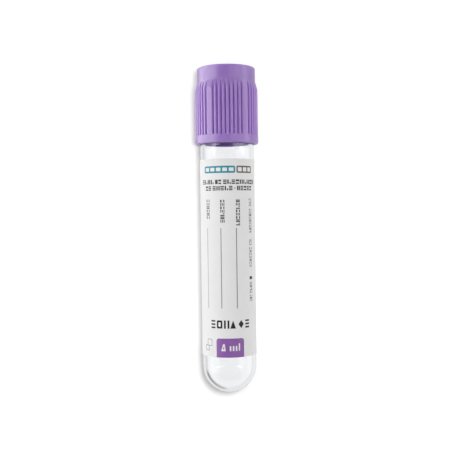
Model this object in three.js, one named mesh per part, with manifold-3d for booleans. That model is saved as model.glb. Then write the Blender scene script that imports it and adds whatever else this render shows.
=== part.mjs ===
// Blood collection tube, 13 x 75 mm: a round-bottomed glass tube, a rubber
// stopper in its mouth, the ribbed plastic shield that carries the stopper and
// reaches down over the glass, and the self-adhesive label round the tube.
//
// Millimetres, +Z up. The tube lies at rest on its round end and on the rim of
// its shield, which is wider, so its axis runs along +Y and rises a little
// towards the shield. The origin is the middle of the footprint, on the surface
// that the tube lies on.
//
// The pieces are drawn in the tube's own frame: +Y along its axis, 0 at the tip
// of the round end, +Z the side that faces up, X across. One group then lays
// them down.
import * as THREE from "three";
import { mergeVertices } from "three/addons/utils/BufferGeometryUtils.js";
import Module from "manifold-3d";

// ---- driving dimensions (mm) ----
const SIDES = 36; // flats round every turned piece; one of them faces down

const TUBE_R = 6.5; // outside radius of the glass
const TUBE_WALL = 1.0;
const TUBE_LENGTH = 75.0; // tip of the round end to the mouth
const LIP_ROUND = 0.35; // fire-polished edge of the mouth
const BOTTOM_STEPS = 9; // arc steps in the round end

const CAP_LENGTH = 18.4;
const CAP_COVER = 3.8; // shield top above the glass mouth
const CAP_TOP = TUBE_LENGTH + CAP_COVER;
const CAP_RIM = CAP_TOP - CAP_LENGTH;
const BAND_R = 7.66; // plain band at the open end
const BAND_LENGTH = 2.0;
const GRIP_R = 7.61; // over the ribs
const COLLAR_R = 7.05; // plain collar at the top
const COLLAR_LENGTH = 3.35;
const SLOPE_LENGTH = 2.0; // cone from the collar out to the ribs
const TOP_HOLE_R = 4.0; // needle way through the shield's top
const TOP_PLATE = 1.2;
const SKIRT_BORE_R = 6.7; // slides over the glass
const POCKET_R = 6.3; // holds the stopper's head
const BEAD_R = 6.05; // snaps under the stopper's head

const GROOVE_PLACES = 47; // evenly round
const GROUPS = [8, 8, 9, 9, 8]; // grooves in each group, one place left plain after each
const GROUP_CENTRE = 2; // middle of the first group, degrees from the top side towards +X
const GROOVE_FLOOR_R = 7.1;
const GROOVE_FLOOR_W = 0.26;
const GROOVE_MOUTH_W = 0.62;

const PLUG_R = 5.44; // stopper inside the mouth
const PLUG_END = 66.3; // its open end, along the axis
const PLUG_CAVITY_R = 3.45;
const PLUG_CAVITY_TOP = 72.2;
const HEAD_R = 6.22;
const HEAD_TOP = 77.5;
const WELL_R = 3.3; // needle well in the stopper's head
const WELL_FLOOR = 75.5;

const LABEL_START = 9.5; // along the axis
const LABEL_END = 56.6;
const LABEL_GAP = 0.05; // over the glass
const LABEL_T = 0.1;
const LABEL_OPEN_SIDES = 5; // flats left bare underneath, between its two edges

// ---- helpers ----
const wasm = await Module();
wasm.setup();

// The radius of the corners of a polygon whose flats lie at radius r.
const corner = (r) => r / Math.cos(Math.PI / SIDES);

// A turned piece, from [radius, height] points whose flats lie at those radii.
function turned(points) {
  const profile = points.map(([r, y]) => new THREE.Vector2(corner(r), y));
  return new THREE.LatheGeometry(profile, SIDES, Math.PI / SIDES, 2 * Math.PI);
}

function arc(cx, cy, r, fromDeg, toDeg, steps) {
  const out = [];
  for (let i = 0; i <= steps; i++) {
    const a = THREE.MathUtils.degToRad(fromDeg + ((toDeg - fromDeg) * i) / steps);
    out.push([cx + r * Math.cos(a), cy + r * Math.sin(a)]);
  }
  return out;
}

function solid(geometry) {
  const g = geometry.clone();
  g.deleteAttribute("normal");
  g.deleteAttribute("uv");
  const m = mergeVertices(g, 1e-4);
  return new wasm.Manifold(
    new wasm.Mesh({
      numProp: 3,
      vertProperties: m.attributes.position.array,
      triVerts: new Uint32Array(m.index.array),
    }),
  );
}

function geometryOf(manifold) {
  const m = manifold.getMesh();
  const g = new THREE.BufferGeometry();
  g.setAttribute("position", new THREE.BufferAttribute(new Float32Array(m.vertProperties), 3));
  g.setIndex(new THREE.BufferAttribute(new Uint32Array(m.triVerts), 1));
  g.computeVertexNormals();
  return g;
}

function piece(name, geometry, colour, roughness, more = {}) {
  const material = new THREE.MeshStandardMaterial({
    color: colour,
    roughness,
    metalness: 0,
    flatShading: true,
    ...more,
  });
  const mesh = new THREE.Mesh(geometry, material);
  mesh.name = name;
  return mesh;
}

// ---- glass tube: one blown piece, open at the mouth ----
function glassTube() {
  const inner = TUBE_R - TUBE_WALL;
  const outside = arc(0, TUBE_R, TUBE_R, -90, 0, BOTTOM_STEPS);
  const inside = arc(0, TUBE_R, inner, 0, -90, BOTTOM_STEPS);
  outside[0][0] = 0;
  inside[BOTTOM_STEPS][0] = 0;
  const y = TUBE_LENGTH - LIP_ROUND;
  return turned([
    ...outside,
    ...arc(TUBE_R - LIP_ROUND, y, LIP_ROUND, 0, 90, 2),
    ...arc(inner + LIP_ROUND, y, LIP_ROUND, 90, 180, 2),
    ...inside,
  ]);
}

// ---- stopper: head in the shield's pocket, waist at its bead, plug in the mouth,
// hollow underneath, with the needle well on top ----
function stopper() {
  return turned([
    [0, PLUG_CAVITY_TOP],
    [1.6, PLUG_CAVITY_TOP - 0.25],
    [2.8, PLUG_CAVITY_TOP - 1.0],
    [3.25, PLUG_CAVITY_TOP - 2.0],
    [PLUG_CAVITY_R, PLUG_END],
    [PLUG_R - 0.5, PLUG_END],
    [PLUG_R - 0.12, PLUG_END + 0.9],
    [PLUG_R, PLUG_END + 1.6],
    [PLUG_R, TUBE_LENGTH + 0.05],
    [BEAD_R - 0.08, TUBE_LENGTH + 0.05],
    [BEAD_R - 0.08, TUBE_LENGTH + 0.78],
    [HEAD_R, TUBE_LENGTH + 1.03],
    [HEAD_R, HEAD_TOP - 0.25],
    [HEAD_R - 0.25, HEAD_TOP],
    [WELL_R + 0.4, HEAD_TOP],
    [WELL_R, HEAD_TOP - 0.5],
    [WELL_R, WELL_FLOOR],
    [0, WELL_FLOOR - 0.25],
  ]);
}

// ---- shield: a moulded shell with a needle hole in its top, grooves down its
// grip, and a plain band at its rim ----
function shield() {
  const slopeTop = CAP_TOP - COLLAR_LENGTH;
  const slopeEnd = slopeTop - SLOPE_LENGTH;
  const body = solid(
    turned([
      [SKIRT_BORE_R + 0.25, CAP_RIM],
      [BAND_R - 0.42, CAP_RIM],
      [BAND_R - 0.12, CAP_RIM + 0.12],
      [BAND_R, CAP_RIM + 0.42],
      [BAND_R, CAP_RIM + BAND_LENGTH - 0.1],
      [GRIP_R, CAP_RIM + BAND_LENGTH],
      [GRIP_R, slopeEnd],
      [COLLAR_R, slopeTop],
      [COLLAR_R, CAP_TOP - 0.35],
      [COLLAR_R - 0.1, CAP_TOP - 0.1],
      [COLLAR_R - 0.35, CAP_TOP],
      [TOP_HOLE_R + 0.25, CAP_TOP],
      [TOP_HOLE_R, CAP_TOP - 0.25],
      [TOP_HOLE_R, CAP_TOP - TOP_PLATE],
      [POCKET_R, CAP_TOP - TOP_PLATE],
      [POCKET_R, TUBE_LENGTH + 0.95],
      [BEAD_R, TUBE_LENGTH + 0.7],
      [BEAD_R, TUBE_LENGTH + 0.2],
      [SKIRT_BORE_R, TUBE_LENGTH + 0.2],
      [SKIRT_BORE_R, CAP_RIM + 0.25],
      [SKIRT_BORE_R + 0.25, CAP_RIM],
    ]),
  );

  // One groove's section, open outwards, then extruded along the axis. It runs
  // out where the cone comes down to the groove's floor.
  const section = new THREE.Shape();
  const top = BAND_R + 0.3;
  const rise = (top - GROOVE_FLOOR_R) / (GRIP_R - GROOVE_FLOOR_R);
  const half = (GROOVE_FLOOR_W + (GROOVE_MOUTH_W - GROOVE_FLOOR_W) * rise) / 2;
  section.moveTo(-GROOVE_FLOOR_W / 2, GROOVE_FLOOR_R);
  section.lineTo(GROOVE_FLOOR_W / 2, GROOVE_FLOOR_R);
  section.lineTo(half, top);
  section.lineTo(-half, top);
  section.closePath();
  const grooveStart = CAP_RIM + BAND_LENGTH;
  const grooveLength = slopeTop + 0.2 - grooveStart;
  const cutters = [];
  const places = [];
  let next = -(GROUPS[0] - 1) / 2;
  for (const grooves of GROUPS) {
    for (let i = 0; i < grooves; i++) places.push(next++);
    next++;
  }
  for (const place of places) {
    const g = new THREE.ExtrudeGeometry(section, {
      depth: grooveLength,
      steps: 1,
      bevelEnabled: false,
    });
    g.rotateX(-Math.PI / 2); // extruded along +Y, its mouth towards -Z
    g.rotateY(Math.PI); // mouth towards +Z, the top side
    g.translate(0, grooveStart, 0);
    g.rotateY(THREE.MathUtils.degToRad(GROUP_CENTRE + (place * 360) / GROOVE_PLACES));
    cutters.push(solid(g));
  }
  return geometryOf(body.subtract(wasm.Manifold.union(cutters)));
}

// ---- label: a sheet wrapped round the glass, its two edges a little apart
// underneath ----
function labelSheet() {
  const step = (2 * Math.PI) / SIDES;
  const covered = SIDES - LABEL_OPEN_SIDES;
  const ring = (r) => {
    const out = [];
    for (let i = 0; i <= covered; i++) {
      const a = (i - covered / 2) * step; // from the top side
      out.push(new THREE.Vector2(corner(r) * Math.sin(a), corner(r) * Math.cos(a)));
    }
    return out;
  };
  const inner = ring(TUBE_R + LABEL_GAP);
  const outer = ring(TUBE_R + LABEL_GAP + LABEL_T);
  const g = new THREE.ExtrudeGeometry(new THREE.Shape([...outer, ...inner.reverse()]), {
    depth: LABEL_END - LABEL_START,
    steps: 1,
    bevelEnabled: false,
  });
  g.rotateX(-Math.PI / 2);
  g.rotateY(Math.PI);
  g.translate(0, LABEL_START, 0);
  return g;
}

// ---- the assembly, laid down ----
const glass = piece("glass_tube", glassTube(), 0xeef2f2, 0.05, { transparent: true, opacity: 0.35 });
const rubber = piece("rubber_stopper", stopper(), 0x6c6a70, 0.7);
const cap = piece("cap_shield", shield(), 0x9173b9, 0.35);
const label = piece("label", labelSheet(), 0xeceef0, 0.8);

const lying = new THREE.Group();
lying.add(glass, rubber, cap, label);

// It touches the surface where the round end begins and where the band meets
// the rounding of its rim.
const rimContact = CAP_RIM + 0.42;
lying.rotation.x = Math.atan2(BAND_R - TUBE_R, rimContact - TUBE_R);
lying.updateMatrixWorld(true);
const box = new THREE.Box3().setFromObject(lying, true);
const middle = box.getCenter(new THREE.Vector3());
lying.position.set(-middle.x, -middle.y, -box.min.z);

const group = new THREE.Group();
group.add(lying);
export default group;
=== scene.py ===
import math
import random

import bpy
from mathutils import Matrix, Vector
from mathutils.geometry import delaunay_2d_cdt


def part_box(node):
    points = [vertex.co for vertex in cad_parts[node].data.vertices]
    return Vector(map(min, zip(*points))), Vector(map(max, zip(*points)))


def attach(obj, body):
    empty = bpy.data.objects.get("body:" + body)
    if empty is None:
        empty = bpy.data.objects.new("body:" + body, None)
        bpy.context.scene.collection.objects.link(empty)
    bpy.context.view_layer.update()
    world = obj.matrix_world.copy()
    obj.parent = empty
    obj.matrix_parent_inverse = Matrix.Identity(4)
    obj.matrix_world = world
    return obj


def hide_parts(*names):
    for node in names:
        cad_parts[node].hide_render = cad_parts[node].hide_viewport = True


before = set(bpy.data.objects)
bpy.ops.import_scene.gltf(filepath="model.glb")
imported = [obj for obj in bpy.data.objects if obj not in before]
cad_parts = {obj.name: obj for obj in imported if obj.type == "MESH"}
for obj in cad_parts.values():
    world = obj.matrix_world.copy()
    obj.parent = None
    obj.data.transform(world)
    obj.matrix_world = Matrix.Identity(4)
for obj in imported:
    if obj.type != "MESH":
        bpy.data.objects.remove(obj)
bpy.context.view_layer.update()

scene = bpy.context.scene
MM = 0.001

# ------------------------------------------------------------------ dimensions
# Millimetres, in the tube's own frame: y along the axis from the tip of the
# round end, z the side that faces up, x across.
TUBE_R, TUBE_WALL, TUBE_LENGTH = 6.5, 1.0, 75.0
CAP_TOP, CAP_RIM = 78.8, 60.4
BAND_R, GRIP_R, COLLAR_R = 7.66, 7.61, 7.05
BAND_END = 62.4
SLOPE_END, SLOPE_TOP = 73.45, 75.45
GROOVE_FLOOR_R = 7.10
GROUP_CENTRE, GROOVE_PLACES, GROUPS = 2.0, 47, (8, 8, 9, 9, 8)  # a place left plain after each group
LABEL_START, LABEL_END = 9.5, 56.6
LABEL_R, LABEL_T, LABEL_HALF = 6.62, 0.08, 155.0
PRINT_R = 6.65  # arcs of the print are laid out at this radius

glass_lo, glass_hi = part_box("glass_tube")
TILT = math.atan2(BAND_R - TUBE_R, CAP_RIM + 0.42 - TUBE_R)
LAY = Matrix.Translation(
    (0.0, glass_lo.y, MM * TUBE_R * (math.cos(TILT) - math.sin(TILT)))
) @ Matrix.Rotation(TILT, 4, "X")


# ------------------------------------------------------------------ mesh tools
def arc(cx, cy, r, a0, a1, n):
    out = []
    for i in range(n + 1):
        a = math.radians(a0 + (a1 - a0) * i / n)
        out.append((cx + r * math.cos(a), cy + r * math.sin(a)))
    return out


def filleted(points, n=5):
    """A polyline of (x, y, radius) with its corners rounded."""
    out = []
    for i, (x, y, r) in enumerate(points):
        if r <= 0 or i in (0, len(points) - 1):
            out.append((x, y))
            continue
        p = Vector((x, y))
        a = Vector(points[i - 1][:2]) - p
        b = Vector(points[i + 1][:2]) - p
        half = a.angle(b) / 2
        cut = min(r / math.tan(half), 0.49 * a.length, 0.49 * b.length)
        r = cut * math.tan(half)
        a.normalize()
        b.normalize()
        c = p + (a + b).normalized() * (r / math.sin(half))
        start, end = p + a * cut - c, p + b * cut - c
        turn = start.angle_signed(end)
        for k in range(n + 1):
            t = -turn * k / n
            out.append(
                (
                    c.x + start.x * math.cos(t) - start.y * math.sin(t),
                    c.y + start.x * math.sin(t) + start.y * math.cos(t),
                )
            )
    return out


def rows_to_mesh(rows, columns, loop):
    """Rows of (radius or a list of radii, y) swept round the axis. A row of radius 0 is a pole.
    The first row is at the outside bottom, and the outside faces out."""
    verts, index = [], []
    for r, y in rows:
        if not isinstance(r, list) and abs(r) < 1e-9:
            verts.append((0.0, y * MM, 0.0))
            index.append([len(verts) - 1] * columns)
            continue
        row = []
        for j in range(columns):
            a = 2 * math.pi * j / columns
            rj = r[j] if isinstance(r, list) else r
            row.append(len(verts))
            verts.append((rj * MM * math.sin(a), y * MM, rj * MM * math.cos(a)))
        index.append(row)
    faces = []
    n = len(rows)
    for i in range(n if loop else n - 1):
        low, high = index[i], index[(i + 1) % n]
        for j in range(columns):
            k = (j + 1) % columns
            if low[j] == low[k]:
                faces.append((low[j], high[k], high[j]))
            elif high[j] == high[k]:
                faces.append((low[j], low[k], high[j]))
            else:
                faces.append((low[j], low[k], high[k], high[j]))
    return verts, faces


def add_object(name, verts, faces, materials, sharp_deg=40.0):
    me = bpy.data.meshes.new(name)
    me.from_pydata(verts, [], faces)
    me.validate()
    for m in materials:
        me.materials.append(m)
    for p in me.polygons:
        p.use_smooth = True
    if sharp_deg:
        me.set_sharp_from_angle(angle=math.radians(sharp_deg))
    me.update()
    ob = bpy.data.objects.new(name, me)
    scene.collection.objects.link(ob)
    ob.matrix_world = LAY
    return ob


# ------------------------------------------------------------------ materials
def srgb(r, g, b):
    def lin(c):
        c /= 255.0
        return c / 12.92 if c <= 0.04045 else ((c + 0.055) / 1.055) ** 2.4

    return (lin(r), lin(g), lin(b), 1.0)


class Mat:
    """A node material with a Principled shader and small helpers."""

    def __init__(self, name, values):
        self.m = bpy.data.materials.new(name)
        self.m.use_nodes = True
        self.t = self.m.node_tree
        self.p = self.t.nodes["Principled BSDF"]
        for k, v in values.items():
            self.p.inputs[k].default_value = v
        self.coord = self.t.nodes.new("ShaderNodeTexCoord")

    def node(self, kind, inputs=None, **attrs):
        n = self.t.nodes.new(kind)
        for k, v in attrs.items():
            setattr(n, k, v)
        for k, v in (inputs or {}).items():
            if isinstance(v, bpy.types.NodeSocket):
                self.t.links.new(v, n.inputs[k])
            else:
                n.inputs[k].default_value = v
        return n

    def link(self, a, b):
        self.t.links.new(a, b)

    def noise(self, scale, detail=3.0, rough=0.55, stretch=(1, 1, 1), distortion=0.0):
        mp = self.node("ShaderNodeMapping", {"Vector": self.coord.outputs["Object"], "Scale": stretch})
        n = self.node(
            "ShaderNodeTexNoise",
            {"Vector": mp.outputs["Vector"], "Scale": scale, "Detail": detail, "Roughness": rough, "Distortion": distortion},
        )
        return n.outputs["Fac"]

    def range(self, value, lo, hi, from_lo=0.3, from_hi=0.7):
        n = self.node(
            "ShaderNodeMapRange",
            {"Value": value, "From Min": from_lo, "From Max": from_hi, "To Min": lo, "To Max": hi},
        )
        return n.outputs["Result"]

    def mix(self, fac, a, b):
        n = self.node("ShaderNodeMix", data_type="RGBA")
        if isinstance(fac, bpy.types.NodeSocket):
            self.link(fac, n.inputs["Factor"])
        else:
            n.inputs["Factor"].default_value = fac
        for k, v in (("A", a), ("B", b)):
            s = [i for i in n.inputs if i.name == k and i.type == "RGBA"][0]
            if isinstance(v, bpy.types.NodeSocket):
                self.link(v, s)
            else:
                s.default_value = v
        return [o for o in n.outputs if o.type == "RGBA"][0]

    def bump(self, height, strength, distance, below=None):
        n = self.node("ShaderNodeBump", {"Height": height, "Strength": strength, "Distance": distance})
        if below is not None:
            self.link(below, n.inputs["Normal"])
        return n.outputs["Normal"]


def cap_plastic():
    m = Mat(
        "cap_plastic",
        {
            "IOR": 1.5,
            "Subsurface Weight": 0.7,
            "Subsurface Radius": (1.0, 0.8, 1.2),
            "Subsurface Scale": 0.0022,
            "Coat Weight": 0.8,
            "Coat Roughness": 0.22,
            "Coat IOR": 1.5,
        },
    )
    cloud = m.noise(170.0, 4.0, 0.5, stretch=(1, 0.35, 1))
    flow = m.noise(900.0, 3.0, 0.6, stretch=(1, 0.08, 1))
    base = m.mix(m.range(cloud, 0.0, 1.0), CAP_DARK, CAP_LIGHT)
    base = m.mix(m.range(flow, 0.0, 0.22), base, CAP_PALE)
    m.link(base, m.p.inputs["Base Color"])
    m.link(m.range(m.noise(1400.0, 4.0), 0.38, 0.48), m.p.inputs["Roughness"])
    m.link(m.bump(m.noise(5200.0, 2.0), 0.05, 0.00001), m.p.inputs["Normal"])
    return m.m


CAP_DARK = srgb(121, 91, 153)
CAP_LIGHT = srgb(126, 96, 158)
CAP_PALE = srgb(135, 106, 166)


def clear_glass():
    """Clear glass. Lamps shine through it, but where they meet the outer wall at a slant on the side away from the
    key (towards -x and -y) it bends them away, and only a share comes through."""
    m = Mat(
        "clear_glass",
        {
            "Roughness": 0.0,
            "IOR": 1.517,
            "Transmission Weight": 1.0,
        },
    )
    # drawing lines along the tube and a faint waviness of its wall
    lines = m.noise(420.0, 2.0, 0.5, stretch=(1, 0.02, 1))
    waves = m.noise(90.0, 2.0, 0.5)
    low = m.bump(waves, 0.05, 0.0002)
    m.link(m.bump(lines, 0.04, 0.00006, low), m.p.inputs["Normal"])
    path = m.node("ShaderNodeLightPath")
    slant = m.node("ShaderNodeLayerWeight", {"Blend": 0.5}).outputs["Facing"]
    # 1 on the outer faces, 0 on the bore's
    outer = m.node("ShaderNodeAttribute", attribute_name="outer").outputs["Fac"]
    # painted shade: on the outer faces the glass's colour darkens towards the silhouette, where it is seen at a slant,
    # which gives the tube a dark rim
    edge = m.node("ShaderNodeMath", {0: m.range(slant, 0.0, 1.0, *EDGE), 1: outer}, operation="MULTIPLY").outputs["Value"]
    m.link(m.mix(edge, GLASS, EDGE_SHADE_TINT), m.p.inputs["Base Color"])
    away = m.node(
        "ShaderNodeVectorMath", {0: m.coord.outputs["Normal"], 1: (-0.45, -0.893, 0.0)}, operation="DOT_PRODUCT"
    ).outputs["Value"]
    a = m.range(slant, 0.0, 1.0, *RIM_SLANT)
    b = m.range(away, 0.0, 1.0, 0.0, 0.25)
    both_ab = m.node("ShaderNodeMath", {0: a, 1: b}, operation="MULTIPLY").outputs["Value"]
    shut = m.node("ShaderNodeMath", {0: both_ab, 1: outer}, operation="MULTIPLY").outputs["Value"]
    through = m.mix(shut, LAMP_TINT, (RIM_SHARE, RIM_SHARE, RIM_SHARE, 1.0))
    clear = m.node("ShaderNodeBsdfTransparent", {"Color": through})
    both = m.node("ShaderNodeMixShader", {0: path.outputs["Is Shadow Ray"], 1: m.p.outputs["BSDF"], 2: clear.outputs["BSDF"]})
    m.link(both.outputs["Shader"], m.t.nodes["Material Output"].inputs["Surface"])
    # the wall is darker where it is looked through lengthwise
    depth = m.node("ShaderNodeVolumeAbsorption", {"Color": DEPTH_TINT, "Density": DEPTH})
    m.link(depth.outputs["Volume"], m.t.nodes["Material Output"].inputs["Volume"])
    return m.m


# the second colour is the painted shade at the glass's rim, and the last pair the slant over which it comes in
GLASS, EDGE_SHADE_TINT, EDGE = (0.990, 0.992, 0.996, 1.0), (0.54, 0.56, 0.58, 1.0), (0.62, 0.92)
LAMP_TINT = (0.965, 0.966, 0.968, 1.0)
RIM_SLANT, RIM_SHARE = (0.20, 0.34), 0.05
DEPTH_TINT, DEPTH = (0.87, 0.89, 0.925, 1.0), 170.0


def paper():
    m = Mat("label_paper", {"IOR": 1.45, "Specular IOR Level": 0.12, "Sheen Weight": 0.05, "Sheen Roughness": 0.5})
    fibre = m.noise(2600.0, 5.0, 0.7, stretch=(1, 0.5, 1))
    mottle = m.noise(260.0, 4.0, 0.6)
    base = m.mix(m.range(mottle, 0.0, 1.0), PAPER_A, PAPER_B)
    base = m.mix(m.range(fibre, 0.0, 0.35), base, PAPER_C)
    m.link(base, m.p.inputs["Base Color"])
    m.link(m.range(fibre, 0.50, 0.62), m.p.inputs["Roughness"])
    m.link(m.bump(fibre, 0.25, 0.000015), m.p.inputs["Normal"])
    return m.m


PAPER_A = srgb(209, 209, 209)
PAPER_B = srgb(212, 212, 212)
PAPER_C = srgb(204, 204, 204)


def ink(name, colour, light, rough=0.42):
    """Printed ink: a thin film that shows the paper's fibre, with small pinholes and uneven density."""
    m = Mat(name, {"IOR": 1.47, "Specular IOR Level": 0.4})
    fibre = m.noise(2600.0, 5.0, 0.7, stretch=(1, 0.5, 1))
    grain = m.noise(7000.0, 3.0, 0.6)
    patch = m.noise(500.0, 3.0, 0.5)
    base = m.mix(m.range(patch, 0.0, 0.5), colour, light)
    base = m.mix(m.range(grain, 0.0, 0.30, 0.58, 0.75), base, light)
    m.link(base, m.p.inputs["Base Color"])
    m.link(m.range(fibre, rough - 0.05, rough + 0.08), m.p.inputs["Roughness"])
    m.link(m.bump(fibre, 0.2, 0.000012), m.p.inputs["Normal"])
    return m.m


def rubber():
    m = Mat("stopper_rubber", {"IOR": 1.5, "Specular IOR Level": 0.3, "Sheen Weight": 0.12, "Sheen Roughness": 0.6})
    cloud = m.noise(300.0, 4.0)
    dust = m.noise(5200.0, 4.0, 0.7)
    base = m.mix(m.range(cloud, 0.0, 1.0), srgb(98, 95, 102), srgb(108, 105, 112))
    base = m.mix(m.range(dust, 0.0, 0.35, 0.55, 0.75), base, srgb(140, 138, 144))
    m.link(base, m.p.inputs["Base Color"])
    m.link(m.range(dust, 0.55, 0.75), m.p.inputs["Roughness"])
    fine = m.bump(dust, 0.25, 0.00003)
    m.link(m.bump(cloud, 0.15, 0.00008, fine), m.p.inputs["Normal"])
    return m.m


MAT_CAP = cap_plastic()
MAT_GLASS = clear_glass()
MAT_RUBBER = rubber()
MAT_PAPER = paper()
INK = {
    "teal": ink("ink_teal", srgb(20, 118, 134), srgb(60, 150, 164)),
    "umber": ink("ink_umber", srgb(84, 68, 62), srgb(108, 94, 88)),
    "dark": ink("ink_dark", srgb(30, 30, 33), srgb(56, 56, 60)),
    "black": ink("ink_black", srgb(18, 18, 20), srgb(42, 42, 46)),
    "grey": ink("ink_grey", srgb(88, 88, 92), srgb(118, 118, 122)),
    "soft": ink("ink_soft", srgb(106, 106, 110), srgb(134, 134, 138)),
    "pale": ink("ink_pale", srgb(140, 140, 142), srgb(164, 164, 166)),
    "violet": ink("ink_violet", srgb(122, 78, 146), srgb(132, 90, 156), 0.38),
}


# ------------------------------------------------------------------ glass tube
def build_glass():
    inner = TUBE_R - TUBE_WALL
    lip = 0.35
    rows = arc(0, TUBE_R, TUBE_R, -90, 0, 30)
    rows[0] = (0.0, 0.0)
    rows += [(TUBE_R, y) for y in (15, 25, 35, 45, 55, 65)]
    rows += arc(TUBE_R - lip, TUBE_LENGTH - lip, lip, 0, 90, 7)
    rows += arc(inner + lip, TUBE_LENGTH - lip, lip, 90, 180, 7)
    rows += [(inner, y) for y in (65, 55, 45, 35, 25, 15)]
    back = arc(0, TUBE_R, inner, 0, -90, 30)
    back[-1] = (0.0, TUBE_R - inner)
    rows += back
    verts, faces = rows_to_mesh(rows, 192, False)
    ob = add_object("glass_tube_fine", verts, faces, [MAT_GLASS], None)
    lip_row = [i for i, (r, y) in enumerate(rows) if y >= TUBE_LENGTH - 1e-6][-1]
    outer = ob.data.attributes.new("outer", "FLOAT", "FACE")
    outer.data.foreach_set("value", [1.0 if i < lip_row * 192 else 0.0 for i in range(len(ob.data.polygons))])
    return ob


# ------------------------------------------------------------------ stopper
def build_stopper():
    profile = filleted(
        [
            (0.0, 72.2, 0),
            (1.6, 71.95, 1.2),
            (2.8, 71.2, 1.0),
            (3.25, 70.2, 1.5),
            (3.45, 66.3, 0.2),
            (4.94, 66.3, 0.25),
            (5.32, 67.2, 0.5),
            (5.44, 67.9, 0.4),
            # two sealing rings moulded round the plug
            (5.44, 69.6, 0.1),
            (5.36, 69.9, 0.15),
            (5.36, 70.5, 0.15),
            (5.44, 70.8, 0.1),
            (5.44, 72.0, 0.1),
            (5.36, 72.3, 0.15),
            (5.36, 72.9, 0.15),
            (5.44, 73.2, 0.1),
            (5.44, 75.05, 0.12),
            (5.97, 75.05, 0.08),
            (5.97, 75.78, 0.1),
            (6.22, 76.03, 0.1),
            (6.22, 77.25, 0.15),
            (5.97, 77.5, 0.2),
            (3.75, 77.5, 0.25),
            (3.3, 77.0, 0.25),
            (3.3, 75.5, 0.35),
            # a low boss in the middle of the needle well
            (1.6, 75.38, 0.3),
            (1.3, 75.48, 0.2),
            (0.0, 75.5, 0),
        ],
        5,
    )
    verts, faces = rows_to_mesh(profile, 144, False)
    return add_object("rubber_stopper_fine", verts, faces, [MAT_RUBBER], 50)


# ------------------------------------------------------------------ cap shield
def smin(a, b, k):
    if k <= 1e-9:
        return min(a, b)
    h = max(k - abs(a - b), 0.0) / k
    return min(a, b) - h * h * k * 0.25


def smax(a, b, k):
    return -smin(-a, -b, k)


def build_cap():
    columns = 720
    centres = []
    place = -(GROUPS[0] - 1) / 2
    for grooves in GROUPS:
        centres += [GROUP_CENTRE + (place + i) * 360.0 / GROOVE_PLACES for i in range(grooves)]
        place += grooves + 1
    groove = []
    for j in range(columns):
        a = 360.0 * j / columns
        d = min(abs((a - c + 180.0) % 360.0 - 180.0) for c in centres)
        d = math.radians(d) * GRIP_R
        groove.append(GROOVE_FLOOR_R + (math.hypot(d, 0.07) - 0.07) * 2.7)

    def cone(y):
        line = GRIP_R - (GRIP_R - COLLAR_R) / (SLOPE_TOP - SLOPE_END) * (y - SLOPE_END)
        return smax(COLLAR_R, smin(GRIP_R, line, 0.03), 0.10)

    def outside(y):
        c = cone(y)
        depth = min(max((y - BAND_END) / 0.11, 0.0), 1.0)
        depth = depth * depth * (3 - 2 * depth)
        k = 0.34 * min(max((c - COLLAR_R) / 0.30, 0.0), 1.0)
        return [c - depth * (c - smin(c, g, k)) if g - c < k else c for g in groove]

    rows = arc(BAND_R - 0.42, CAP_RIM + 0.42, 0.42, -90, 0, 8)
    rows += [(BAND_R, 61.5), (BAND_R, BAND_END - 0.10), (BAND_R - 0.008, BAND_END - 0.06), (BAND_R - 0.03, BAND_END - 0.02)]
    ys = [BAND_END + d for d in (0.0, 0.02, 0.04, 0.055, 0.07, 0.09, 0.11, 0.2, 0.6)]
    ys += [66.0, 69.5, 72.6, 73.1, 73.3, 73.38, 73.43, 73.47, 73.52, 73.6, 73.75, 73.9]
    ys += [74.05 + 0.1 * k for k in range(10)] + [75.0 + 0.05 * k for k in range(10)]
    ys += [75.5, 75.56, 75.62, 75.7, 75.8, 75.95]
    rows += [(outside(y), y) for y in ys]
    rows += [(COLLAR_R, 77.2)]
    rows += arc(COLLAR_R - 0.35, CAP_TOP - 0.35, 0.35, 0, 90, 8)
    rows += [(5.4, CAP_TOP)]
    rows += filleted(
        [
            (4.6, CAP_TOP, 0),
            (4.0, CAP_TOP, 0.25),
            (4.0, 77.6, 0.08),
            (6.3, 77.6, 0.15),
            (6.3, 75.95, 0.08),
            (6.05, 75.70, 0.06),
            (6.05, 75.20, 0.06),
            (6.7, 75.20, 0.15),
            (6.7, 60.65, 0),
        ],
        4,
    )
    rows += arc(6.95, CAP_RIM + 0.25, 0.25, 180, 270, 5)
    verts, faces = rows_to_mesh(rows, columns, True)
    return add_object("cap_shield_fine", verts, faces, [MAT_CAP], 60)


# ------------------------------------------------------------------ label
def box_zone(u0, u1, v0, v1, r=0.0, corners="all"):
    """A rectangle in the label's plane, u round the tube and v along it, with rounded corners."""
    if r <= 0:
        return [(u0, v0), (u1, v0), (u1, v1), (u0, v1)]
    out = []
    spec = [
        (u0 + r, v0 + r, 180, "low"),
        (u1 - r, v0 + r, 270, "low"),
        (u1 - r, v1 - r, 0, "high"),
        (u0 + r, v1 - r, 90, "high"),
    ]
    sharp = {(180): (u0, v0), (270): (u1, v0), (0): (u1, v1), (90): (u0, v1)}
    for cu, cv, a, side in spec:
        if corners in ("all", side):
            out += arc(cu, cv, r, a, a + 90, 5)
        else:
            out.append(sharp[a])
    return out


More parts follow.
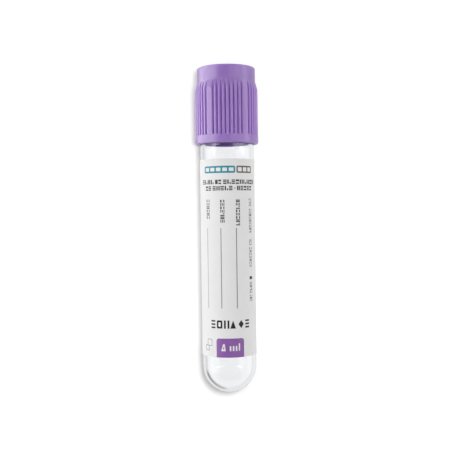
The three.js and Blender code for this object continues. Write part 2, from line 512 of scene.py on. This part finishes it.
def greek(rng, along, lo, hi, side0, side1, cell, stroke, gap):
    """A run of plain little bars that stands in for a line of small print between lo and hi. along is 'u' or 'v'."""
    out = []

    def bar(a0, a1, b0, b1):
        out.append(box_zone(a0, a1, b0, b1) if along == "u" else box_zone(side0 + side1 - b1, side0 + side1 - b0, a0, a1))

    n = max(1, round((hi - lo + gap) / (cell + gap)))
    cell = (hi - lo + gap) / n - gap
    h = side1 - side0
    last = -1
    for i in range(n):
        a0 = lo + i * (cell + gap)
        a1 = a0 + cell
        kind = rng.choice([k for k in range(4) if k != last])
        last = kind
        if kind == 0:  # two bars across, one over the other
            bar(a0, a1, side0, side0 + stroke)
            bar(a0, a1, side1 - stroke * 1.3, side1)
        elif kind == 1:  # two posts
            bar(a0, a0 + stroke, side0, side1)
            bar(a1 - stroke, a1, side0, side1)
        elif kind == 2:  # a post and a low block
            bar(a0, a0 + stroke, side0, side1)
            bar(a0 + 1.6 * stroke, a1, side0, side0 + 0.42 * h)
        else:  # three bars across
            bar(a0, a1, side0, side0 + 0.8 * stroke)
            bar(a0, a1, side0 + 0.5 * h - 0.4 * stroke, side0 + 0.5 * h + 0.4 * stroke)
            bar(a0, a1, side1 - 0.8 * stroke, side1)
    return out


def strip(u0, u1, v0, v1, n, stroke):
    """Outline of a strip with n open cells: the strip, then the cells to leave white."""
    w = (u1 - u0 - stroke) / n
    cells = [box_zone(u0 + stroke + i * w, u0 + (i + 1) * w, v0 + stroke, v1 - stroke, 0.12) for i in range(n)]
    return box_zone(u0, u1, v0, v1, 0.35), cells


def print_layout():
    """(ink, polygon) in millimetres: u is the arc from the side that faces up, v the distance along the tube."""
    rng = random.Random(11)
    z = []
    # a plain two-tone strip of open cells at the head of the label
    for tone, u0, u1, n, stroke in (("teal", -6.28, 1.92, 5, 0.42), ("umber", 2.22, 6.78, 3, 0.34)):
        frame_, cells = strip(u0, u1, 53.22, 54.90, n, stroke)
        z.append((tone, frame_))
        z += [("white", c) for c in cells]
    # two lines of small print
    for lo, hi in ((-7.15, -3.43), (-3.02, -1.51), (-1.03, 7.95)):
        z += [("dark", p) for p in greek(rng, "u", lo, hi, 50.60, 51.65, 0.80, 0.33, 0.17)]
    for lo, hi in ((-5.92, -4.17), (-3.73, 1.20), (2.31, 6.76)):
        z += [("dark", p) for p in greek(rng, "u", lo, hi, 49.10, 50.15, 0.80, 0.33, 0.17)]
    z.append(("dark", box_zone(1.57, 1.93, 49.52, 49.72)))
    # three field headings running along the tube, and their write-on lines
    for tone, u0, u1, v0, v1, line, line_tone in (
        ("grey", -5.72, -4.72, 42.4, 47.0, -5.47, "pale"),
        ("dark", -1.80, -0.78, 41.5, 46.9, -1.71, "soft"),
        ("dark", 1.98, 3.00, 40.8, 46.9, 2.03, "grey"),
    ):
        z += [(tone, p) for p in greek(rng, "v", v0, v1, u0, u1, 0.64, 0.27, 0.15)]
        z.append((line_tone, box_zone(line - 0.10, line + 0.10, 21.15, 40.2)))
    # small print down the right side
    for v0, v1 in ((45.3, 47.2), (39.05, 44.7), (35.95, 37.5), (30.8, 35.5), (24.5, 27.2), (22.6, 24.1)):
        z += [("umber", p) for p in greek(rng, "v", v0, v1, 5.78, 6.72, 0.50, 0.22, 0.15)]
    z.append(("black", box_zone(5.75, 6.75, 27.83, 28.55)))
    # bold plain marks over the coloured block: bars, a holed square, posts, a triangle, then a diamond and bars
    b0, b1 = 16.40, 18.34

    def bars(u0, u1, n, stroke):
        step = (b1 - b0 - stroke) / (n - 1)
        return [("black", box_zone(u0, u1, b0 + i * step, b0 + i * step + stroke)) for i in range(n)]

    z += bars(-4.60, -3.45, 3, 0.40)
    z.append(("black", box_zone(-3.05, -1.65, b0, b1, 0.25)))
    z.append(("white", box_zone(-2.62, -2.08, b0 + 0.45, b1 - 0.45, 0.12)))
    z.append(("black", box_zone(-1.25, -0.82, b0, b1)))
    z.append(("black", box_zone(-0.40, 0.03, b0, b1)))
    z.append(("black", [(0.25, b0), (1.60, b0), (0.925, b1)]))
    z.append(("black", [(2.95, b0), (3.65, (b0 + b1) / 2), (2.95, b1), (2.25, (b0 + b1) / 2)]))
    z += bars(4.10, 5.28, 3, 0.40)
    # the coloured block down to the label's edge, with plain marks left white in it
    z.append(("violet", box_zone(-3.22, 3.67, LABEL_START, 14.05, 0.65, "high")))
    z.append(("white", [(-2.05, 11.05), (-0.90, 11.05), (-1.15, 12.75), (-1.50, 12.75)]))
    z.append(("violet", [(-1.62, 11.50), (-1.24, 11.50), (-1.36, 12.20)]))
    for lo, hi, v1 in ((0.05, 0.42, 12.25), (0.78, 1.15, 12.25), (1.51, 1.88, 12.25), (2.26, 2.58, 12.85)):
        z.append(("white", box_zone(lo, hi, 11.05, v1, 0.10)))
    # a small outlined pair of boxes on the left
    for u0, u1, v0, v1 in ((-6.65, -5.35, 10.95, 12.30), (-5.95, -4.45, 12.10, 13.75)):
        z.append(("grey", box_zone(u0, u1, v0, v1, 0.18)))
        z.append(("white", box_zone(u0 + 0.13, u1 - 0.13, v0 + 0.13, v1 - 0.13, 0.08)))
    return z


def build_label():
    half = math.radians(LABEL_HALF) * PRINT_R
    outline = box_zone(-half, half, LABEL_START, LABEL_END, 1.5)
    zones = print_layout()
    pts, edges, loops = [], [], []

    def add_loop(poly):
        start = len(pts)
        pts.extend(Vector(p) for p in poly)
        n = len(poly)
        edges.extend((start + i, start + (i + 1) % n) for i in range(n))
        loops.append([start + i for i in range(n)])

    add_loop(outline)
    for _, poly in zones:
        add_loop(poly)
    step = math.radians(2.5) * PRINT_R
    k = int(half / step)
    for i in range(-k, k + 1):
        u = i * step
        pts.extend((Vector((u, LABEL_START)), Vector((u, LABEL_END))))
        edges.append((len(pts) - 2, len(pts) - 1))
    v2, _, f2, _, _, of = delaunay_2d_cdt(pts, edges, loops, 1, 1e-5)

    names = ["paper"] + list(INK)
    slots = {n: i for i, n in enumerate(names)}
    n2 = len(v2)

    def at(p, r):
        a = p[0] / PRINT_R
        return (r * MM * math.sin(a), p[1] * MM, r * MM * math.cos(a))

    verts = [at(p, LABEL_R) for p in v2] + [at(p, LABEL_R - LABEL_T) for p in v2]
    faces, mats, used = [], [], {}
    for tri, owners in zip(f2, of):
        if 0 not in owners:
            continue
        a, b, c = (v2[i] for i in tri)
        area = (b - a).cross(c - a)
        t = list(tri) if area > 0 else [tri[0], tri[2], tri[1]]
        # u to +x and v to +y at the top side, so a counter-clockwise triangle faces out
        tone = "paper"
        inks = [zones[o - 1][0] for o in sorted(owners) if o > 0]
        if inks:
            tone = "paper" if inks[-1] == "white" else inks[-1]
        faces.append(t)
        mats.append(slots[tone])
        for i in range(3):
            e = (t[i], t[(i + 1) % 3])
            used[e] = used.get(e, 0) + 1
    top = len(faces)
    for t in faces[:top]:
        faces.append([t[0] + n2, t[2] + n2, t[1] + n2])
        mats.append(0)
    rim = [e for e in used if (e[1], e[0]) not in used]
    for a, b in rim:
        faces.append([b, a, a + n2, b + n2])
        mats.append(0)

    ob = add_object("label_fine", verts, faces, [MAT_PAPER] + [INK[n] for n in INK], None)
    me = ob.data
    me.polygons.foreach_set("material_index", mats)
    normals = []
    for p in me.polygons:
        if p.index < 2 * top:
            sign = 1 if p.index < top else -1
            for vi in p.vertices:
                co = me.vertices[vi].co
                normals.append(Vector((co.x, 0, co.z)).normalized() * sign)
        else:
            normals.extend([p.normal.copy()] * len(p.vertices))
    me.normals_split_custom_set(normals)
    me.update()
    return ob


glass = build_glass()
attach(glass, "tube")
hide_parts("glass_tube")

label = build_label()
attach(label, "tube")
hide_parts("label")

cap = build_cap()
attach(cap, "closure")
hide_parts("cap_shield")

stopper = build_stopper()
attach(stopper, "closure")
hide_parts("rubber_stopper")


# ------------------------------------------------------------------ floor
def build_floor():
    """A white floor with painted light and shade. Seen through the glass it is a glowing card, even in the middle,
    dimmer to the sides and the left and in an arc past the round end's lower left: painted shade, so that the glass
    shows no cast shadow but its own edge."""
    s = 6.0
    me = bpy.data.meshes.new("floor")
    me.from_pydata([(-s, -s, 0), (s, -s, 0), (s, s, 0), (-s, s, 0)], [], [(0, 1, 2, 3)])
    ob = bpy.data.objects.new("floor", me)
    scene.collection.objects.link(ob)
    ob.location.z = -0.00002
    m = Mat(
        "floor_white",
        {
            "Base Color": (0.50, 0.50, 0.50, 1.0),
            "Roughness": 0.7,
            "Specular IOR Level": 0.1,
            "Emission Color": (1.0, 1.0, 1.0, 1.0),
        },
    )
    at = m.node("ShaderNodeSeparateXYZ", {"Vector": m.coord.outputs["Object"]})

    def math_node(operation, x, y=0.0):
        return m.node("ShaderNodeMath", {0: x, 1: y}, operation=operation).outputs["Value"]

    def smooth(value, from_lo, from_hi, lo, hi):
        return m.node(
            "ShaderNodeMapRange",
            {"Value": value, "From Min": from_lo, "From Max": from_hi, "To Min": lo, "To Max": hi},
            interpolation_type="SMOOTHSTEP",
        ).outputs["Result"]

    # the card behind the glass, by the distance from the tube's middle line
    past = math_node("MINIMUM", math_node("SUBTRACT", at.outputs["Y"], glass_lo.y + TUBE_R * MM))
    flat = m.node("ShaderNodeCombineXYZ", {"X": at.outputs["X"], "Y": past})
    off = m.node("ShaderNodeVectorMath", {0: flat.outputs["Vector"]}, operation="LENGTH").outputs["Value"]
    # painted light: the floor itself glows, not at all within 7 mm of the object's line and fully past 12 mm, so that
    # it is painted darker close round the object
    beyond = math_node("MAXIMUM", math_node("SUBTRACT", at.outputs["Y"], glass_lo.y + (CAP_TOP - 4.0) * MM))
    round_ = m.node("ShaderNodeCombineXYZ", {"X": at.outputs["X"], "Y": math_node("ADD", past, beyond)})
    away = m.node("ShaderNodeVectorMath", {0: round_.outputs["Vector"]}, operation="LENGTH").outputs["Value"]
    m.link(smooth(away, 7.0 * MM, 12.0 * MM, 0.0, FLOOR_GLOW), m.p.inputs["Emission Strength"])
    # painted light and shade: seen through the glass the floor is a glowing card, dimmer past 8 mm from the tube's line
    # and dimmer again on the left, a painted shade for the shadow beside the tube
    card = smooth(off, 8.0 * MM, 13.0 * MM, THROUGH, THROUGH_SIDE)
    card = math_node("ADD", card, smooth(at.outputs["X"], -12.0 * MM, -8.0 * MM, THROUGH_LEFT, 0.0))
    # painted shadow: the dark arc, a part of a ring about the round end's middle, taken off the card
    whole = m.node("ShaderNodeCombineXYZ", {"X": at.outputs["X"], "Y": math_node("SUBTRACT", at.outputs["Y"], glass_lo.y + (TUBE_R - 1.3) * MM)})
    out = m.node("ShaderNodeVectorMath", {0: whole.outputs["Vector"]}, operation="LENGTH").outputs["Value"]
    unit = m.node("ShaderNodeVectorMath", {0: whole.outputs["Vector"]}, operation="NORMALIZE").outputs["Vector"]
    aim = math.radians(ARC_AT)
    turn = m.node("ShaderNodeVectorMath", {0: unit, 1: (math.cos(aim), math.sin(aim), 0.0)}, operation="DOT_PRODUCT").outputs["Value"]
    ring = math_node("MULTIPLY", smooth(out, ARC_IN * MM, (ARC_IN + 2.8) * MM, 0.0, 1.0), smooth(out, 16.5 * MM, 20.0 * MM, 1.0, 0.0))
    arc_shadow = math_node("MULTIPLY", ring, smooth(turn, math.cos(math.radians(ARC_HALF + 9)), math.cos(math.radians(ARC_HALF - 9)), 0.0, ARC_SHADOW_DEPTH))
    card = math_node("SUBTRACT", card, arc_shadow)
    even = m.node("ShaderNodeEmission", {"Strength": card})
    path = m.node("ShaderNodeLightPath")
    pick = m.node(
        "ShaderNodeMixShader",
        {0: path.outputs["Is Transmission Ray"], 1: m.p.outputs["BSDF"], 2: even.outputs["Emission"]},
    )
    # painted reflection: rough glossy reflections, such as the closure's satin sheen, see the floor glow brightly on
    # its left, which paints a highlight down the closure's left side
    sweep = m.node("ShaderNodeEmission", {"Strength": smooth(at.outputs["X"], -28.0 * MM, -14.0 * MM, SWEEP, SWEEP_RIGHT)})
    satin = math_node("MULTIPLY", path.outputs["Is Reflection Ray"], math_node("SUBTRACT", path.outputs["Is Glossy Ray"], path.outputs["Is Singular Ray"]))
    pick = m.node("ShaderNodeMixShader", {0: satin, 1: pick.outputs["Shader"], 2: sweep.outputs["Emission"]})
    # painted reflection: the glass's sharp reflections see the floor as a glow a little darker than white, darker again
    # on the left, a painted shade for the floor close under the tube
    shaded = math_node("ADD", at.outputs["X"], math_node("MULTIPLY", past, 0.9))
    mirror = m.node("ShaderNodeEmission", {"Strength": smooth(shaded, -7.0 * MM, -4.0 * MM, MIRROR_SHADED, MIRROR)})
    sharp = math_node("MULTIPLY", path.outputs["Is Reflection Ray"], path.outputs["Is Singular Ray"])
    pick = m.node("ShaderNodeMixShader", {0: sharp, 1: pick.outputs["Shader"], 2: mirror.outputs["Emission"]})
    m.link(pick.outputs["Shader"], m.t.nodes["Material Output"].inputs["Surface"])
    me.materials.append(m.m)
    return ob


FLOOR_GLOW = 0.14
THROUGH, THROUGH_SIDE, THROUGH_LEFT = 1.03, 0.86, -0.12
ARC_AT, ARC_HALF, ARC_IN, ARC_SHADOW_DEPTH = 227.5, 30.5, 10.5, 0.54
SWEEP, SWEEP_RIGHT, MIRROR, MIRROR_SHADED = 3.0, 0.6, 0.75, 0.65
floor = build_floor()


# ------------------------------------------------------------------ light
def receivers(name, *objects):
    c = bpy.data.collections.new(name)
    for ob in objects:
        c.objects.link(ob)
    return c


SOLID = receivers("lit_solid", label, cap, stopper)
CLEAR = receivers("lit_clear", glass)
FLOOR = receivers("lit_floor", floor)


def build_world():
    w = bpy.data.worlds.new("studio")
    scene.world = w
    w.use_nodes = True
    t = w.node_tree
    bg = t.nodes["Background"]
    bg.inputs["Color"].default_value = (1.0, 1.0, 1.0, 1.0)
    bg.inputs["Strength"].default_value = WORLD


def softbox(name, azimuth, elevation, wide, high, radiance, distance=0.6, glossy=True, lit=None, shade=None, along=0.0):
    """A rectangular light facing the tube. Angles in degrees: azimuth from +Y towards +X, elevation from the floor,
    wide and high the half angles it fills; radiance is relative to a white surface's 1; along is a shift in metres
    towards the closure."""
    a, e = math.radians(azimuth), math.radians(elevation)
    way = Vector((math.cos(e) * math.sin(a), math.cos(e) * math.cos(a), math.sin(e)))
    d = bpy.data.lights.new(name, "AREA")
    d.shape = "RECTANGLE"
    d.size = 2 * distance * math.tan(math.radians(wide))
    d.size_y = 2 * distance * math.tan(math.radians(high))
    d.energy = math.pi * d.size * d.size_y * radiance
    o = bpy.data.objects.new(name, d)
    scene.collection.objects.link(o)
    o.location = Vector((0.0, along, 0.007)) + way * distance
    side = Vector((math.cos(a), -math.sin(a), 0.0))
    up = side.cross(way)
    o.matrix_world = Matrix(
        (
            (side.x, up.x, way.x, o.location.x),
            (side.y, up.y, way.y, o.location.y),
            (side.z, up.z, way.z, o.location.z),
            (0, 0, 0, 1),
        )
    )
    o.visible_glossy = o.visible_transmission = glossy
    o.visible_camera = False
    # the boxes round the tube are flagged off the floor, so that they don't fill its short shadow
    o.light_linking.receiver_collection = lit or SOLID
    if shade:
        o.light_linking.blocker_collection = shade
    return o


WORLD = 0.13
KEY_TUBE, KEY_CAP, KEY_ALL = 107.0, 107.0, 3.0
build_world()
# two lamps light the floor: one is shaded by the tube and one by the closure, so each throws one short shadow;
# a third and weaker one, straight above, is shaded by both
softbox("key_tube", 27.0, 74.8, 5.0, 5.0, KEY_TUBE, 0.8, glossy=False, lit=FLOOR, shade=receivers("shade_tube", glass, label))
softbox("key_cap", 125, 81.3, 4.4, 4.4, KEY_CAP, 0.8, glossy=False, lit=FLOOR, shade=receivers("shade_cap", cap, stopper))
softbox("key_all", 60, 86, 7.0, 7.0, KEY_ALL, 0.8, glossy=False, lit=FLOOR)
softbox("left_low", 275, 21, 30, 21, 2.9)
softbox("left_high", 275, 49, 30, 7, 1.8)
softbox("right_low", 90, 9, 50, 9, 1.8)
softbox("right_high", 90, 45, 35, 26, 0.9)
softbox("head", 0, 32, 40, 26, 1.0, glossy=False)
softbox("foot", 180, 30, 40, 24, 1.0, glossy=False)
softbox("overhead", 90, 89, 12, 12, 2.0, glossy=False, lit=receivers("lit_paper", label, stopper))
CAP_ONLY = receivers("lit_cap", cap)
softbox("glow_cap", 90, 88, 12, 12, 5.1, glossy=False, lit=CAP_ONLY)
softbox("right_cap", 90, 14, 50, 14, 0.35, lit=CAP_ONLY)
# these throw no shadow: they fill the grooves and the inside of the closure's skirt a little, as light coming
# through its thin wall does
NO_SHADE = receivers("shade_none", floor)
softbox("fill_top", 90, 88, 12, 12, 1.9, glossy=False, lit=CAP_ONLY, shade=NO_SHADE)
softbox("fill_left", 275, 21, 30, 21, 0.5, glossy=False, lit=CAP_ONLY, shade=NO_SHADE)
softbox("fill_right", 90, 15, 50, 15, 0.4, glossy=False, lit=CAP_ONLY, shade=NO_SHADE)
softbox("left_clear", 270, 20, 30, 21, 0.95, lit=CLEAR)
softbox("right_clear", 90, 42, 40, 37, 0.14, lit=CLEAR)
# two small ones past the closure's end make the streaks on the glass where it comes out of the skirt
softbox("left_neck", 270, 37, 3.8, 17, 2.4, lit=CLEAR, along=0.1035)
softbox("right_neck", 90, 35, 3.8, 27, 2.1, lit=CLEAR, along=0.1020)

# ------------------------------------------------------------------ camera
cam_data = bpy.data.cameras.new("camera")
cam_data.lens = 60.2
cam_data.sensor_width = 36.0
cam_data.clip_start, cam_data.clip_end = 0.01, 20.0
camera = bpy.data.objects.new("camera", cam_data)
scene.collection.objects.link(camera)
aim = LAY @ Vector((0.0, 40.2 * MM, 0.0))
camera.location = (aim.x - 0.00011, aim.y, aim.z + 0.186)
camera.rotation_euler = (0.0, 0.0, math.radians(-0.75))
scene.camera = camera

scene.view_settings.view_transform = "Standard"
scene.view_settings.look = "None"
scene.cycles.use_denoising = True
scene.cycles.max_bounces = 24
scene.cycles.transmission_bounces = 24
scene.cycles.glossy_bounces = 8
scene.cycles.diffuse_bounces = 6
scene.cycles.caustics_refractive = True
scene.cycles.caustics_reflective = False
scene.cycles.sample_clamp_indirect = 6.0
